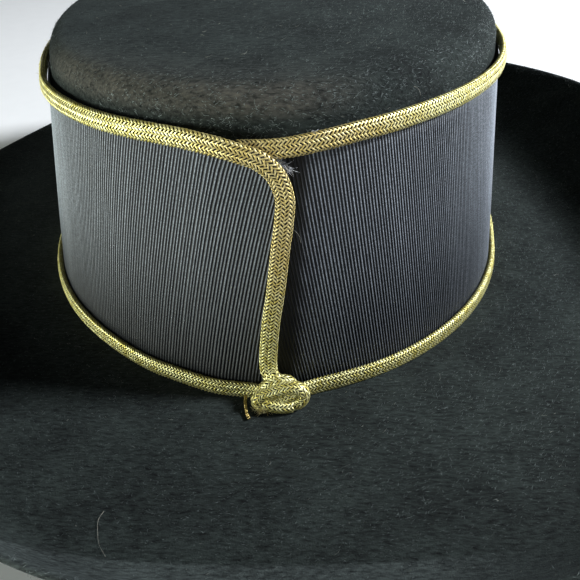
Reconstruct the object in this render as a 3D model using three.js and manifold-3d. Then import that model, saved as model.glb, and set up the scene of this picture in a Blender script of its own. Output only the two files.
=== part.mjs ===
// Wide-brim felt hat: a flat-topped oval crown and a brim curled up at its edge, blocked from one
// piece of felt, with a deep ribbed ribbon band and a braided metallic cord that edges the band,
// turns down its lapped front end and finishes in a knot on the brim.
// Millimetres. +Z up, the wearer's front towards -Y, +X on the right of somebody facing the hat.
// The hat rests on the flat ring of brim round its head opening, at z = 0.

import * as THREE from 'three';
import { mergeVertices } from 'three/addons/utils/BufferGeometryUtils.js';
import Module from 'manifold-3d';

const wasm = await Module();
wasm.setup();

// Felt
const feltThickness = 2.0;
const shoulderRadius = 7.0;        // outside of the felt where the crown turns over to its top
const shoulderStart = 77.8;        // height at which the side of the crown starts to turn over
const domeRise = 2.0;              // how far the middle of the crown top stands above its shoulder
const brimBreakRadius = 0.8;       // outside of the felt where the crown meets the brim
const rimRound = 0.6;              // how far the cut edge of the rim is rounded out
const feltColumns = 72;

// Band and cord. The cord is a hollow braid, sewn down flat against the band.
const gap = 0.3;
const ribbonThickness = 0.8;
const ribbonFoot = 3.2;
const ribbonTop = 73.0;
const cordWidth = 4.7;
const cordThickness = 1.9;
const cordSides = 8;

// The two rings of cord: ovals that run through the middle of the cord
const baseRing = { halfWidth: 86.0, halfLength: 104.9, height: feltThickness + gap + cordWidth / 2 };
const topRing = { halfWidth: 76.05, halfLength: 92.3, height: 73.3 };

// Each layer lies this far inside the surface that the two rings span
const ribbonInset = cordThickness / 2 + gap;
const feltInset = ribbonInset + ribbonThickness + gap;

// The crown is blocked by hand, so it departs a little from a true oval. azimuth: degrees from +X,
// with -90 at the front. atTop and atBase: how far it swells out past the oval at the two rings.
const crownTable = [
  { azimuth: -170, atTop: -1.2, atBase: 0.3 },
  { azimuth: -150, atTop: -0.8, atBase: 0.7 },
  { azimuth: -137, atTop: 0.6, atBase: 0.3 },
  { azimuth: -120, atTop: 0.4, atBase: -0.8 },
  { azimuth: -108, atTop: -0.2, atBase: -0.4 },
  { azimuth: -90, atTop: 0.3, atBase: 0.1 },
  { azimuth: -78, atTop: 0.3, atBase: 0 },
  { azimuth: -63, atTop: -1.3, atBase: 0 },
  { azimuth: -45, atTop: -0.4, atBase: 0.4 },
  { azimuth: -32, atTop: 0.5, atBase: 0 },
  { azimuth: -18, atTop: 0.6, atBase: -1.1 },
  { azimuth: 10, atTop: 0, atBase: -0.5 },
  { azimuth: 90, atTop: 0, atBase: 0 },
  { azimuth: 150, atTop: -0.4, atBase: 0 },
];

// The brim, round the hat. azimuth: as above. reach: from the base ring out to the rim, in plan.
// height: of the rim's upper face. flat: how far out from the base ring the brim lies flat before
// it curls up.
const brimTable = [
  { azimuth: -90, reach: 64.2, height: 13, flat: 51 },
  { azimuth: -75, reach: 70, height: 14.5, flat: 55 },
  { azimuth: -62, reach: 77, height: 17, flat: 60 },
  { azimuth: -45, reach: 75, height: 21.5, flat: 50 },
  { azimuth: -20, reach: 67, height: 29, flat: 29 },
  { azimuth: 0, reach: 63, height: 33, flat: 19 },
  { azimuth: 20, reach: 62, height: 34, flat: 16 },
  { azimuth: 38, reach: 61, height: 31, flat: 15 },
  { azimuth: 60, reach: 60, height: 26, flat: 17 },
  { azimuth: 90, reach: 60, height: 19, flat: 22 },
  { azimuth: 120, reach: 63, height: 10, flat: 28 },
  { azimuth: 150, reach: 67, height: 4.5, flat: 36 },
  { azimuth: 175, reach: 68, height: 6, flat: 42 },
  { azimuth: 200, reach: 67, height: 9, flat: 48 },
  { azimuth: 225, reach: 67, height: 12, flat: 54 },
  { azimuth: 250, reach: 64.8, height: 14, flat: 54 },
];

// Where the band's left end laps over its right end at the front, everything outside it stands
// proud by one more layer. Degrees of azimuth.
const lap = { rise: ribbonThickness + gap, start: -104, full: -96, past: -84, end: -76 };
const ribbonTuckedEnd = -95;
const ribbonFrontEnd = { atTop: -85.4, atFoot: -88.8 };

// The cord turns down the front. azimuth and height of its middle, from the top ring to the knot.
const downRun = [
  { azimuth: -98.1, height: 73.0 },
  { azimuth: -94.2, height: 72.1 },
  { azimuth: -91.7, height: 71.0 },
  { azimuth: -89.8, height: 69.9 },
  { azimuth: -88.1, height: 67.8 },
  { azimuth: -86.9, height: 65.0 },
  { azimuth: -86.0, height: 60.0 },
  { azimuth: -86.2, height: 55.0 },
  { azimuth: -87.0, height: 46.0 },
  { azimuth: -87.8, height: 36.0 },
  { azimuth: -88.9, height: 24.0 },
  { azimuth: -89.3, height: 11.2 },
];
const tuckedCordEnd = { azimuth: -93, rise: -2.2, levelTo: -88 };
const baseCordEnds = { left: -92.3, right: -83.4 };

// The knot's turns, measured from its middle
const knotCentre = { x: 4.0, y: -108.2, z: 6.4 };
const knotStrand = 3.9;
const knotOverTurn = [
  { x: -5.6, y: -1.5, z: -2.0 },
  { x: -5.9, y: -0.4, z: 0.0 },
  { x: -3.2, y: 0.2, z: 1.5 },
  { x: 1.2, y: 0.4, z: 2.0 },
  { x: 4.8, y: 0.2, z: 1.3 },
  { x: 5.9, y: -0.8, z: -0.6 },
  { x: 3.8, y: -1.8, z: -2.0 },
];
const knotUnderTurn = [
  { x: -4.4, y: -1.5, z: -0.6 },
  { x: -1.6, y: -2.2, z: -1.1 },
  { x: 1.8, y: -2.3, z: -1.7 },
  { x: 4.6, y: -1.4, z: -2.1 },
];
const knotHeart = { halfWidth: 5.6, halfDepth: 2.6, halfHeight: 3.0 };

// The wire end that comes out of the knot and lies on the brim, from the middle of the crown
const tailDiameter = 0.85;
const tailRun = [
  { x: -5.3, y: -107.8, z: 4.5 },
  { x: -5.5, y: -109.4, z: 3.9 },
  { x: -5.2, y: -111.3, z: 3.1 },
  { x: -4.5, y: -113.0, z: 2.75 },
  { x: -3.4, y: -114.6, z: 2.75 },
];

const radians = THREE.MathUtils.degToRad;

// Radius of an oval at an azimuth, seen from its middle
function ovalRadius(angle, halfWidth, halfLength) {
  return 1 / Math.hypot(Math.cos(angle) / halfWidth, Math.sin(angle) / halfLength);
}

// A column's value at an azimuth, on a smooth closed curve through a table's rows
function tableValue(table, column, degrees) {
  const first = table[0].azimuth;
  const turn = THREE.MathUtils.euclideanModulo(degrees - first, 360) + first;
  const row = (index) => {
    const wrapped = THREE.MathUtils.euclideanModulo(index, table.length);
    const laps = (index - wrapped) / table.length;
    return { at: table[wrapped].azimuth + laps * 360, value: table[wrapped][column] };
  };
  let index = table.length - 1;
  while (index > 0 && row(index).at > turn) index -= 1;
  const [before, from, to, after] = [row(index - 1), row(index), row(index + 1), row(index + 2)];
  const span = to.at - from.at;
  const slopeFrom = (to.value - before.value) / (to.at - before.at) * span;
  const slopeTo = (after.value - from.value) / (after.at - from.at) * span;
  const t = (turn - from.at) / span;
  return (2 * t ** 3 - 3 * t ** 2 + 1) * from.value + (t ** 3 - 2 * t ** 2 + t) * slopeFrom
    + (3 * t ** 2 - 2 * t ** 3) * to.value + (t ** 3 - t ** 2) * slopeTo;
}

// Radius of the tapered wall at a height, inset from the surface through the cord's two rings
function wallRadius(angle, height, inset) {
  const degrees = THREE.MathUtils.radToDeg(angle);
  const rise = (height - baseRing.height) / (topRing.height - baseRing.height);
  const halfWidth = THREE.MathUtils.lerp(baseRing.halfWidth, topRing.halfWidth, rise) - inset;
  const halfLength = THREE.MathUtils.lerp(baseRing.halfLength, topRing.halfLength, rise) - inset;
  const swellAtBase = tableValue(crownTable, 'atBase', degrees);
  const swellAtTop = tableValue(crownTable, 'atTop', degrees);
  const swell = THREE.MathUtils.lerp(swellAtBase, swellAtTop, rise);
  return ovalRadius(angle, halfWidth, halfLength) + swell;
}

function onWall(angle, height, outward) {
  const radius = wallRadius(angle, height, -outward);
  return new THREE.Vector3(radius * Math.cos(angle), radius * Math.sin(angle), height);
}

// How far the lapped end of the band pushes the cord out at an azimuth near the front
function lapRise(degrees) {
  const on = THREE.MathUtils.smoothstep(degrees, lap.start, lap.full);
  const off = THREE.MathUtils.smoothstep(degrees, lap.past, lap.end);
  return lap.rise * (on - off);
}

// Points of an arc in the plane of a section, from one angle to another, in degrees
function arcPoints(radius, height, size, from, to, steps) {
  const points = [];
  for (let i = 0; i <= steps; i += 1) {
    const angle = radians(from + (to - from) * i / steps);
    points.push({ r: radius + size * Math.cos(angle), z: height + size * Math.sin(angle) });
  }
  return points;
}

// One radial section of the felt, from the middle of the crown top out over the shoulder, down
// the side and out to the rim, then back along the other face. The two end points are the poles.
function feltSection(angle) {
  const degrees = THREE.MathUtils.radToDeg(angle);
  const domeSteps = [0.3, 0.55, 0.8];
  const wallHeights = [58, 38, 18];
  const brimSteps = 9;
  const innerShoulder = shoulderRadius - feltThickness;
  const outerAt = (z) => wallRadius(angle, z, feltInset);
  const innerAt = (z) => outerAt(z) - feltThickness;
  const shoulderCentre = outerAt(shoulderStart) - shoulderRadius;
  const shoulderTop = shoulderStart + shoulderRadius;

  const upper = domeSteps.map((s) => ({
    r: s * shoulderCentre,
    z: shoulderTop + domeRise * (1 - s * s),
  }));
  upper.push(...arcPoints(shoulderCentre, shoulderStart, shoulderRadius, 90, 0, 5));
  wallHeights.forEach((z) => upper.push({ r: outerAt(z), z }));
  const breakTop = feltThickness + brimBreakRadius;
  upper.push(...arcPoints(outerAt(breakTop) + brimBreakRadius, breakTop, brimBreakRadius, 180, 270, 2));

  const ring = ovalRadius(angle, baseRing.halfWidth, baseRing.halfLength);
  const reach = tableValue(brimTable, 'reach', degrees);
  const flat = tableValue(brimTable, 'flat', degrees);
  const curl = tableValue(brimTable, 'height', degrees) - feltThickness;
  const brimFace = [];
  for (let i = 0; i <= brimSteps; i += 1) {
    const t = i / brimSteps;
    const across = reach - flat;
    const steepness = 2 * curl / across;
    const bow = Math.hypot(1, steepness * t);
    brimFace.push({
      top: { r: ring + flat + across * t, z: feltThickness + curl * t * t },
      normal: { r: -steepness * t / bow, z: 1 / bow },
    });
  }
  upper.push(...brimFace.map(({ top }) => top));
  const rim = brimFace[brimSteps];
  upper.push({
    r: rim.top.r - rim.normal.r * feltThickness / 2 + rim.normal.z * rimRound,
    z: rim.top.z - rim.normal.z * feltThickness / 2 - rim.normal.r * rimRound,
  });

  const lower = brimFace.map(({ top, normal }) => ({
    r: top.r - normal.r * feltThickness,
    z: Math.max(0, top.z - normal.z * feltThickness),
  })).reverse();
  const innerBreak = brimBreakRadius + feltThickness;
  lower.push(...arcPoints(innerAt(innerBreak) + innerBreak, innerBreak, innerBreak, 270, 180, 3));
  [...wallHeights].reverse().forEach((z) => lower.push({ r: innerAt(z), z }));
  lower.push(...arcPoints(shoulderCentre, shoulderStart, innerShoulder, 0, 90, 4));
  [...domeSteps].reverse().forEach((s) => lower.push({
    r: s * shoulderCentre,
    z: shoulderTop - feltThickness + domeRise * (1 - s * s),
  }));
  const crownTop = shoulderTop + domeRise;
  return { crownTop, innerTop: crownTop - feltThickness, rows: [...upper, ...lower] };
}

function meshOf(name, geometry, colour, roughness, metalness) {
  const material = new THREE.MeshStandardMaterial({ color: colour, roughness, metalness });
  const mesh = new THREE.Mesh(geometry, material);
  mesh.name = name;
  return mesh;
}

function geometryOf(positions, triangles) {
  const geometry = new THREE.BufferGeometry();
  geometry.setAttribute('position', new THREE.Float32BufferAttribute(positions, 3));
  geometry.setIndex(triangles);
  geometry.computeVertexNormals();
  return geometry;
}

// Crown and brim: the sections joined round the hat, with a pole on each face of the crown top
function feltGeometry() {
  const positions = [];
  const triangles = [];
  const sections = [];
  for (let column = 0; column < feltColumns; column += 1) {
    const angle = 2 * Math.PI * column / feltColumns;
    const section = feltSection(angle);
    section.rows.forEach(({ r, z }) => positions.push(r * Math.cos(angle), r * Math.sin(angle), z));
    sections.push(section);
  }
  const rowCount = sections[0].rows.length;
  const outerPole = feltColumns * rowCount;
  const innerPole = outerPole + 1;
  positions.push(0, 0, sections[0].crownTop, 0, 0, sections[0].innerTop);
  for (let column = 0; column < feltColumns; column += 1) {
    const here = column * rowCount;
    const next = ((column + 1) % feltColumns) * rowCount;
    triangles.push(outerPole, here, next);
    for (let row = 0; row < rowCount - 1; row += 1) {
      triangles.push(here + row, here + row + 1, next + row + 1);
      triangles.push(here + row, next + row + 1, next + row);
    }
    triangles.push(innerPole, next + rowCount - 1, here + rowCount - 1);
  }
  return geometryOf(positions, triangles);
}

// The ribbon: a strip wound once round the crown, its front end lapped over its tucked end
function ribbonGeometry() {
  const columns = 84;
  const positions = [];
  const triangles = [];
  for (let column = 0; column <= columns; column += 1) {
    const t = column / columns;
    const corners = [
      { height: ribbonFoot, depth: ribbonInset + ribbonThickness },
      { height: ribbonFoot, depth: ribbonInset },
      { height: ribbonTop, depth: ribbonInset },
      { height: ribbonTop, depth: ribbonInset + ribbonThickness },
    ];
    corners.forEach(({ height, depth }) => {
      const frontEnd = height === ribbonTop ? ribbonFrontEnd.atTop : ribbonFrontEnd.atFoot;
      const degrees = THREE.MathUtils.lerp(ribbonTuckedEnd, frontEnd + 360, t);
      const lift = lap.rise * THREE.MathUtils.smoothstep(degrees - 360, lap.start, lap.full);
      const point = onWall(radians(degrees), height, lift - depth);
      positions.push(point.x, point.y, point.z);
    });
  }
  for (let column = 0; column < columns; column += 1) {
    for (let corner = 0; corner < 4; corner += 1) {
      const a = column * 4 + corner;
      const b = column * 4 + (corner + 1) % 4;
      triangles.push(a, a + 4, b + 4, a, b + 4, b);
    }
  }
  const last = columns * 4;
  triangles.push(0, 1, 2, 0, 2, 3);
  triangles.push(last, last + 2, last + 1, last, last + 3, last + 2);
  return geometryOf(positions, triangles);
}

// A bar of oval section that follows a curve. width: across it, upright where it runs level.
function barGeometry(points, width, thickness, sides, steps) {
  const section = new THREE.Shape();
  for (let side = 0; side < sides; side += 1) {
    const angle = 2 * Math.PI * (side + 0.5) / sides;
    const x = width / 2 * Math.cos(angle);
    const y = thickness / 2 * Math.sin(angle);
    if (side === 0) section.moveTo(x, y);
    else section.lineTo(x, y);
  }
  section.closePath();
  const path = new THREE.CatmullRomCurve3(points, false, 'centripetal');
  const bar = new THREE.ExtrudeGeometry(section, { steps, bevelEnabled: false, extrudePath: path });
  bar.deleteAttribute('normal');
  bar.deleteAttribute('uv');
  return mergeVertices(bar, 1e-4);
}

function solidOf(geometry) {
  const mesh = new wasm.Mesh({
    numProp: 3,
    vertProperties: new Float32Array(geometry.attributes.position.array),
    triVerts: new Uint32Array(geometry.index.array),
  });
  return new wasm.Manifold(mesh);
}

function geometryOfSolid(solid) {
  const { vertProperties, triVerts } = solid.getMesh();
  return geometryOf([...vertProperties], [...triVerts]);
}

// The cord on the band's upper edge: once round the crown from its tucked end, then down the front
function edgeCordGeometry() {
  const ring = [];
  const ringStep = 6;
  const firstDown = downRun[0].azimuth + 360;
  for (let degrees = tuckedCordEnd.azimuth; degrees < firstDown - 2; degrees += ringStep) {
    const settled = THREE.MathUtils.smoothstep(degrees, tuckedCordEnd.levelTo, lap.end);
    const height = topRing.height + tuckedCordEnd.rise * (1 - settled);
    const turned = degrees > 180 ? degrees - 360 : degrees;
    ring.push(onWall(radians(degrees), height, lapRise(turned)));
  }
  const down = downRun.map(({ azimuth, height }) => onWall(radians(azimuth), height, lapRise(azimuth)));
  const crossing = ring.length - 4;
  const around = barGeometry(ring.slice(0, crossing + 1), cordWidth, cordThickness, cordSides, 62);
  const turnDown = barGeometry([...ring.slice(crossing), ...down], cordWidth, cordThickness, cordSides, 44);
  return geometryOfSolid(solidOf(around).add(solidOf(turnDown)));
}

// The cord on the band's lower edge, lying in the corner on the brim, from one side of the knot
// round to the other
function baseCordGeometry() {
  const points = [];
  const pointCount = 60;
  for (let i = 0; i <= pointCount; i += 1) {
    const degrees = THREE.MathUtils.lerp(baseCordEnds.right, baseCordEnds.left + 360, i / pointCount);
    const turned = degrees > 180 ? degrees - 360 : degrees;
    points.push(onWall(radians(degrees), baseRing.height, lapRise(turned)));
  }
  return barGeometry(points, cordWidth, cordThickness, cordSides, 72);
}

// The knot: two turns of cord drawn tight round a filled heart
function knotGeometry() {
  const turn = (rows) => rows.map(({ x, y, z }) => new THREE.Vector3(x, y, z));
  const over = solidOf(barGeometry(turn(knotOverTurn), knotStrand, knotStrand, cordSides, 16));
  const under = solidOf(barGeometry(turn(knotUnderTurn), knotStrand, knotStrand, cordSides, 8));
  const heart = new THREE.SphereGeometry(1, 12, 8);
  heart.deleteAttribute('normal');
  heart.deleteAttribute('uv');
  heart.scale(knotHeart.halfWidth, knotHeart.halfDepth, knotHeart.halfHeight);
  const geometry = geometryOfSolid(over.add(under).add(solidOf(mergeVertices(heart, 1e-4))));
  geometry.translate(knotCentre.x, knotCentre.y, knotCentre.z);
  return geometry;
}

function tailGeometry() {
  const points = tailRun.map(({ x, y, z }) => new THREE.Vector3(x, y, z));
  return barGeometry(points, tailDiameter, tailDiameter, 6, 12);
}

const felt = meshOf('felt_body', feltGeometry(), 0x1b1f20, 0.95, 0);
const hat = new THREE.Group();
hat.add(felt);
hat.add(meshOf('ribbon_band', ribbonGeometry(), 0x2b3036, 0.75, 0));
hat.add(meshOf('edge_cord', edgeCordGeometry(), 0xb8963c, 0.4, 0.8));
hat.add(meshOf('base_cord', baseCordGeometry(), 0xb8963c, 0.4, 0.8));
hat.add(meshOf('front_knot', knotGeometry(), 0xb8963c, 0.4, 0.8));
hat.add(meshOf('wire_tail', tailGeometry(), 0xc0a050, 0.35, 0.9));

// The brim is wider and higher on one side, so the crown stands a little off the hat's middle
felt.geometry.computeBoundingBox();
const middle = felt.geometry.boundingBox.getCenter(new THREE.Vector3());
hat.position.set(-middle.x, -middle.y, 0);

export default hat;
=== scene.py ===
import bmesh
import bpy
import math
import numpy as np
from mathutils import Matrix, Vector


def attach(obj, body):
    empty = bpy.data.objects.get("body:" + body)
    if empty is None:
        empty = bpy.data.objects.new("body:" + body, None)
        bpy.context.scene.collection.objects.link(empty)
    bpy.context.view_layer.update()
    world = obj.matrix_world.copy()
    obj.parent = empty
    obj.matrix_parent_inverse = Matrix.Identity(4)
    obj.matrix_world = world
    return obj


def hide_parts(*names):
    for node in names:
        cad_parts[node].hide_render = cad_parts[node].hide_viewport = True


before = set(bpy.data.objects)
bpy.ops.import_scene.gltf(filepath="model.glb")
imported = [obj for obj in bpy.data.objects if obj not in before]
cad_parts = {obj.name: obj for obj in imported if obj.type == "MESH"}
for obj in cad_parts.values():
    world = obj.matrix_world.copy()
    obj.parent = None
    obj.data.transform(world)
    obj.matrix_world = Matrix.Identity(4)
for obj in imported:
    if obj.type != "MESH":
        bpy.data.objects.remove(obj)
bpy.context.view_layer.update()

# Camera. It stands a little in front of the hat and looks down on the crown at about 38 degrees,
# near enough that the brim runs out of the picture on every side. No shift, everything sharp.
view_right = Vector((0.999499, 0.022200, -0.022545))
view_up = Vector((0.004217, 0.612718, 0.790290))
view_back = Vector((0.031358, -0.789989, 0.612318))
eye = Vector((0.014276, -0.218894, 0.129911))
camera_data = bpy.data.cameras.new("camera")
camera_data.sensor_width = 36.0
camera_data.lens = 37.016
camera_data.clip_start = 0.01
camera_data.dof.use_dof = False
camera = bpy.data.objects.new("camera", camera_data)
turn = Matrix((view_right, view_up, view_back)).transposed()
camera.matrix_world = Matrix.Translation(eye) @ turn.to_4x4()
bpy.context.scene.collection.objects.link(camera)
bpy.context.scene.camera = camera


# Floor. A plain matt white surface, wide enough to fill every view. It is not part of the hat.
def linear(hex_colour):
    """An sRGB hex colour as linear red, green, blue and alpha."""
    parts = [int(hex_colour[i:i + 2], 16) / 255 for i in (1, 3, 5)]
    return [c / 12.92 if c <= 0.04045 else ((c + 0.055) / 1.055) ** 2.4 for c in parts] + [1.0]


def add_node(tree, kind, settings=None, links=None):
    """A shader node with its settings, and its inputs linked to sockets or set to values."""
    item = tree.nodes.new(kind)
    for key, value in (settings or {}).items():
        setattr(item, key, value)
    for key, source in (links or {}).items():
        if isinstance(source, bpy.types.NodeSocket):
            tree.links.new(source, item.inputs[key])
        else:
            item.inputs[key].default_value = source
    return item


def new_material(name):
    """An empty material: the material, its node tree and its output node."""
    material = bpy.data.materials.new(name)
    material.use_nodes = True
    tree = material.node_tree
    tree.nodes.clear()
    return material, tree, tree.nodes.new("ShaderNodeOutputMaterial")


# Matt paper: almost white and without shine, with a grain of under 2 mm that hardly shows.
floor_half_width = 4.0
colour_mix = {"data_type": "RGBA"}
floor_material, tree, output = new_material("white paper backdrop")
grain = add_node(tree, "ShaderNodeTexNoise", {}, {"Scale": 600.0, "Detail": 3.0})
paper = add_node(tree, "ShaderNodeMix", colour_mix, {
    "Factor": grain.outputs["Fac"], 6: linear("#F4F4F3"), 7: linear("#FAFAF9")})
shader = add_node(tree, "ShaderNodeBsdfPrincipled", {}, {"Base Color": paper.outputs[2], "Roughness": 0.9})
tree.links.new(shader.outputs["BSDF"], output.inputs["Surface"])
floor_mesh = bpy.data.meshes.new("floor")
floor_shape = bmesh.new()
bmesh.ops.create_grid(floor_shape, x_segments=1, y_segments=1, size=floor_half_width)
floor_shape.to_mesh(floor_mesh)
floor_shape.free()
floor = bpy.data.objects.new("floor", floor_mesh)
floor_mesh.materials.append(floor_material)
bpy.context.scene.collection.objects.link(floor)

# Light. One strong soft source from the hat's right, a weaker one from low on its left, a faint one
# from the front, and a dim even surround that keeps the shadows from going to nothing. Colours are
# shown as they are, with no film-like curve over them.
bpy.context.scene.view_settings.view_transform = "Standard"
light_aim = Vector((0, 0, 0.05))
surround_strength = 0.022
light_table = [
    {"name": "key", "azimuth": 2, "elevation": 34, "distance": 1.3, "size": 0.24, "watts": 34.0,
     "colour": "#F3F8FF"},
    {"name": "left_fill", "azimuth": 207, "elevation": 3.5, "distance": 1.2, "size": 0.24, "watts": 18.5,
     "colour": "#EFF6EC"},
    {"name": "front", "azimuth": -70, "elevation": 26, "distance": 1.4, "size": 0.4, "watts": 1.5,
     "colour": "#F4F8FF"},
]
for row in light_table:
    across, up = math.radians(row["azimuth"]), math.radians(row["elevation"])
    towards = Vector((math.cos(across) * math.cos(up), math.sin(across) * math.cos(up), math.sin(up)))
    light_data = bpy.data.lights.new(row["name"], "AREA")
    light_data.shape = "DISK"
    light_data.size = row["size"]
    light_data.energy = row["watts"]
    light_data.color = linear(row["colour"])[:3]
    light = bpy.data.objects.new(row["name"], light_data)
    light.matrix_world = Matrix.Translation(towards * row["distance"] + light_aim) @ \
        towards.to_track_quat("Z", "Y").to_matrix().to_4x4()
    bpy.context.scene.collection.objects.link(light)
world = bpy.data.worlds.new("surround")
world.use_nodes = True
world.node_tree.nodes["Background"].inputs["Color"].default_value = linear("#EEF2F6")
world.node_tree.nodes["Background"].inputs["Strength"].default_value = surround_strength
bpy.context.scene.world = world


# Felt body. Crown and brim are blocked from one piece of black wool felt about 2 mm thick, curled
# up at the rim, which is cut and left raw. The surface has a short brushed nap that runs at a slant.
soft_edge = {"interpolation_type": "SMOOTHSTEP"}


def felt_finish(name, deep, lit):
    """Black wool felt: near black and dull, with a cool grey bloom where its nap catches the light.
    Brushed strokes are 2.4 mm long and under 1 mm wide, mottle 18 mm across, fuzz 0.4 mm, as real."""
    material, tree, output = new_material(name)
    place = add_node(tree, "ShaderNodeTexCoord").outputs["Object"]
    slant = add_node(tree, "ShaderNodeMapping", {}, {
        "Vector": place, "Rotation": (0.3, 0.2, math.radians(28)), "Scale": (420.0, 1500.0, 1100.0)})
    strokes = add_node(tree, "ShaderNodeTexNoise", {}, {
        "Vector": slant.outputs["Vector"], "Scale": 1.0, "Detail": 4.0, "Roughness": 0.62})
    mottle = add_node(tree, "ShaderNodeTexNoise", {}, {
        "Vector": place, "Scale": 55.0, "Detail": 4.0, "Roughness": 0.6})
    patchy = add_node(tree, "ShaderNodeMath", {"operation": "MULTIPLY_ADD"}, {
        0: mottle.outputs["Fac"], 1: 0.24, 2: 0.14})
    brushed = add_node(tree, "ShaderNodeMath", {"operation": "MULTIPLY", "use_clamp": True}, {
        0: strokes.outputs["Fac"], 1: patchy.outputs[0]})
    spread = add_node(tree, "ShaderNodeMapRange", {}, {
        "Value": brushed.outputs[0], "From Min": 0.07, "From Max": 0.19})
    black = add_node(tree, "ShaderNodeMix", colour_mix, {
        "Factor": spread.outputs[0], 6: linear(deep), 7: linear(lit)})

    # Painted light. The crown's shoulder above the band, left of the middle, is painted a lighter brownish
    # grey: painted light. A pale painted sheen lies on the rim at the front, which curves back to both sides,
    # and a trace of painted light lies on the top.
    rim_sheen, top_light = 0.19, 0.05
    split = add_node(tree, "ShaderNodeSeparateXYZ", {}, {"Vector": place})
    sideways, depth, height = split.outputs["X"], split.outputs["Y"], split.outputs["Z"]
    rim_bow = add_node(tree, "ShaderNodeMath", {"operation": "MULTIPLY"}, {0: sideways, 1: sideways})
    rim_line = add_node(tree, "ShaderNodeMath", {"operation": "SUBTRACT"}, {0: depth, 1: rim_bow.outputs[0]})
    painted_light_table = [
        {"where": "shoulder", "along": height, "none_at": 0.0755, "full_at": 0.0805},
        {"where": "shoulder", "along": height, "none_at": 0.0858, "full_at": 0.0825},
        {"where": "shoulder", "along": sideways, "none_at": 0.034, "full_at": 0.004},
        {"where": "shoulder", "along": depth, "none_at": -0.035, "full_at": -0.070},
        {"where": "rim", "along": sideways, "none_at": 0.068, "full_at": 0.036},
        {"where": "rim", "along": rim_line.outputs[0], "none_at": -0.1520, "full_at": -0.1534},
    ]
    painted_light = {"shoulder": spread.outputs[0], "rim": rim_sheen}
    for row in painted_light_table:
        eased = add_node(tree, "ShaderNodeMapRange", soft_edge, {
            "Value": row["along"], "From Min": row["none_at"], "From Max": row["full_at"]})
        painted_light[row["where"]] = add_node(tree, "ShaderNodeMath", {"operation": "MULTIPLY"}, {
            0: painted_light[row["where"]], 1: eased.outputs[0]}).outputs[0]
    flat_top = add_node(tree, "ShaderNodeMapRange", soft_edge, {
        "Value": height, "From Min": 0.0835, "From Max": 0.0862, "To Min": 0.0, "To Max": top_light})
    sheen_and_top_light_share = add_node(tree, "ShaderNodeMath", {"operation": "ADD"}, {
        0: painted_light["rim"], 1: flat_top.outputs[0]})
    # The pale colour of the painted sheen on the rim and the painted light on the top, streaked like the nap.
    pale_sheen = add_node(tree, "ShaderNodeMix", colour_mix, {
        "Factor": spread.outputs[0], 6: linear("#1E2222"), 7: linear("#7C8583")})
    # The shoulder's painted light: a lighter brownish grey over the black.
    tinted = add_node(tree, "ShaderNodeMix", colour_mix, {
        "Factor": painted_light["shoulder"], 6: black.outputs[2], 7: linear("#57534B")})
    tone = add_node(tree, "ShaderNodeMix", colour_mix, {
        "Factor": sheen_and_top_light_share.outputs[0], 6: tinted.outputs[2], 7: pale_sheen.outputs[2]})

    fuzz = add_node(tree, "ShaderNodeTexNoise", {}, {
        "Vector": place, "Scale": 2600.0, "Detail": 3.0, "Roughness": 0.7})
    relief = add_node(tree, "ShaderNodeMath", {"operation": "ADD"}, {
        0: strokes.outputs["Fac"], 1: fuzz.outputs["Fac"]})
    bump = add_node(tree, "ShaderNodeBump", {}, {
        "Strength": 0.8, "Distance": 0.0003, "Height": relief.outputs[0]})
    shader = add_node(tree, "ShaderNodeBsdfPrincipled", {}, {
        "Base Color": tone.outputs[2], "Roughness": 0.92, "IOR": 1.5, "Normal": bump.outputs["Normal"],
        "Specular IOR Level": 0.12, "Sheen Weight": 0.04, "Sheen Roughness": 0.6,
        "Sheen Tint": linear("#A9B6BA")})
    tree.links.new(shader.outputs["BSDF"], output.inputs["Surface"])
    return material


def show(name, mesh, material, stands_for=()):
    """Puts a finished mesh in the scene as a piece of the hat."""
    piece = bpy.data.objects.new(name, mesh)
    bpy.context.scene.collection.objects.link(piece)
    mesh.materials.append(material)
    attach(piece, "root")
    if stands_for:
        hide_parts(*stands_for)
    return piece


felt_shape = bmesh.new()
felt_shape.from_mesh(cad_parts["felt_body"].data)
bmesh.ops.remove_doubles(felt_shape, verts=felt_shape.verts, dist=1e-6)
bmesh.ops.join_triangles(felt_shape, faces=felt_shape.faces, angle_face_threshold=math.radians(35),
                         angle_shape_threshold=math.radians(180), topology_influence=0.5)
bmesh.ops.recalc_face_normals(felt_shape, faces=felt_shape.faces)
felt_mesh = bpy.data.meshes.new("felt")
felt_shape.to_mesh(felt_mesh)
felt_shape.free()
felt_mesh.shade_smooth()
felt = show("felt", felt_mesh, felt_finish("black wool felt", "#050606", "#303734"), ["felt_body"])
rounding = felt.modifiers.new("rounding", "SUBSURF")
rounding.levels = 2
rounding.render_levels = 2


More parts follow.
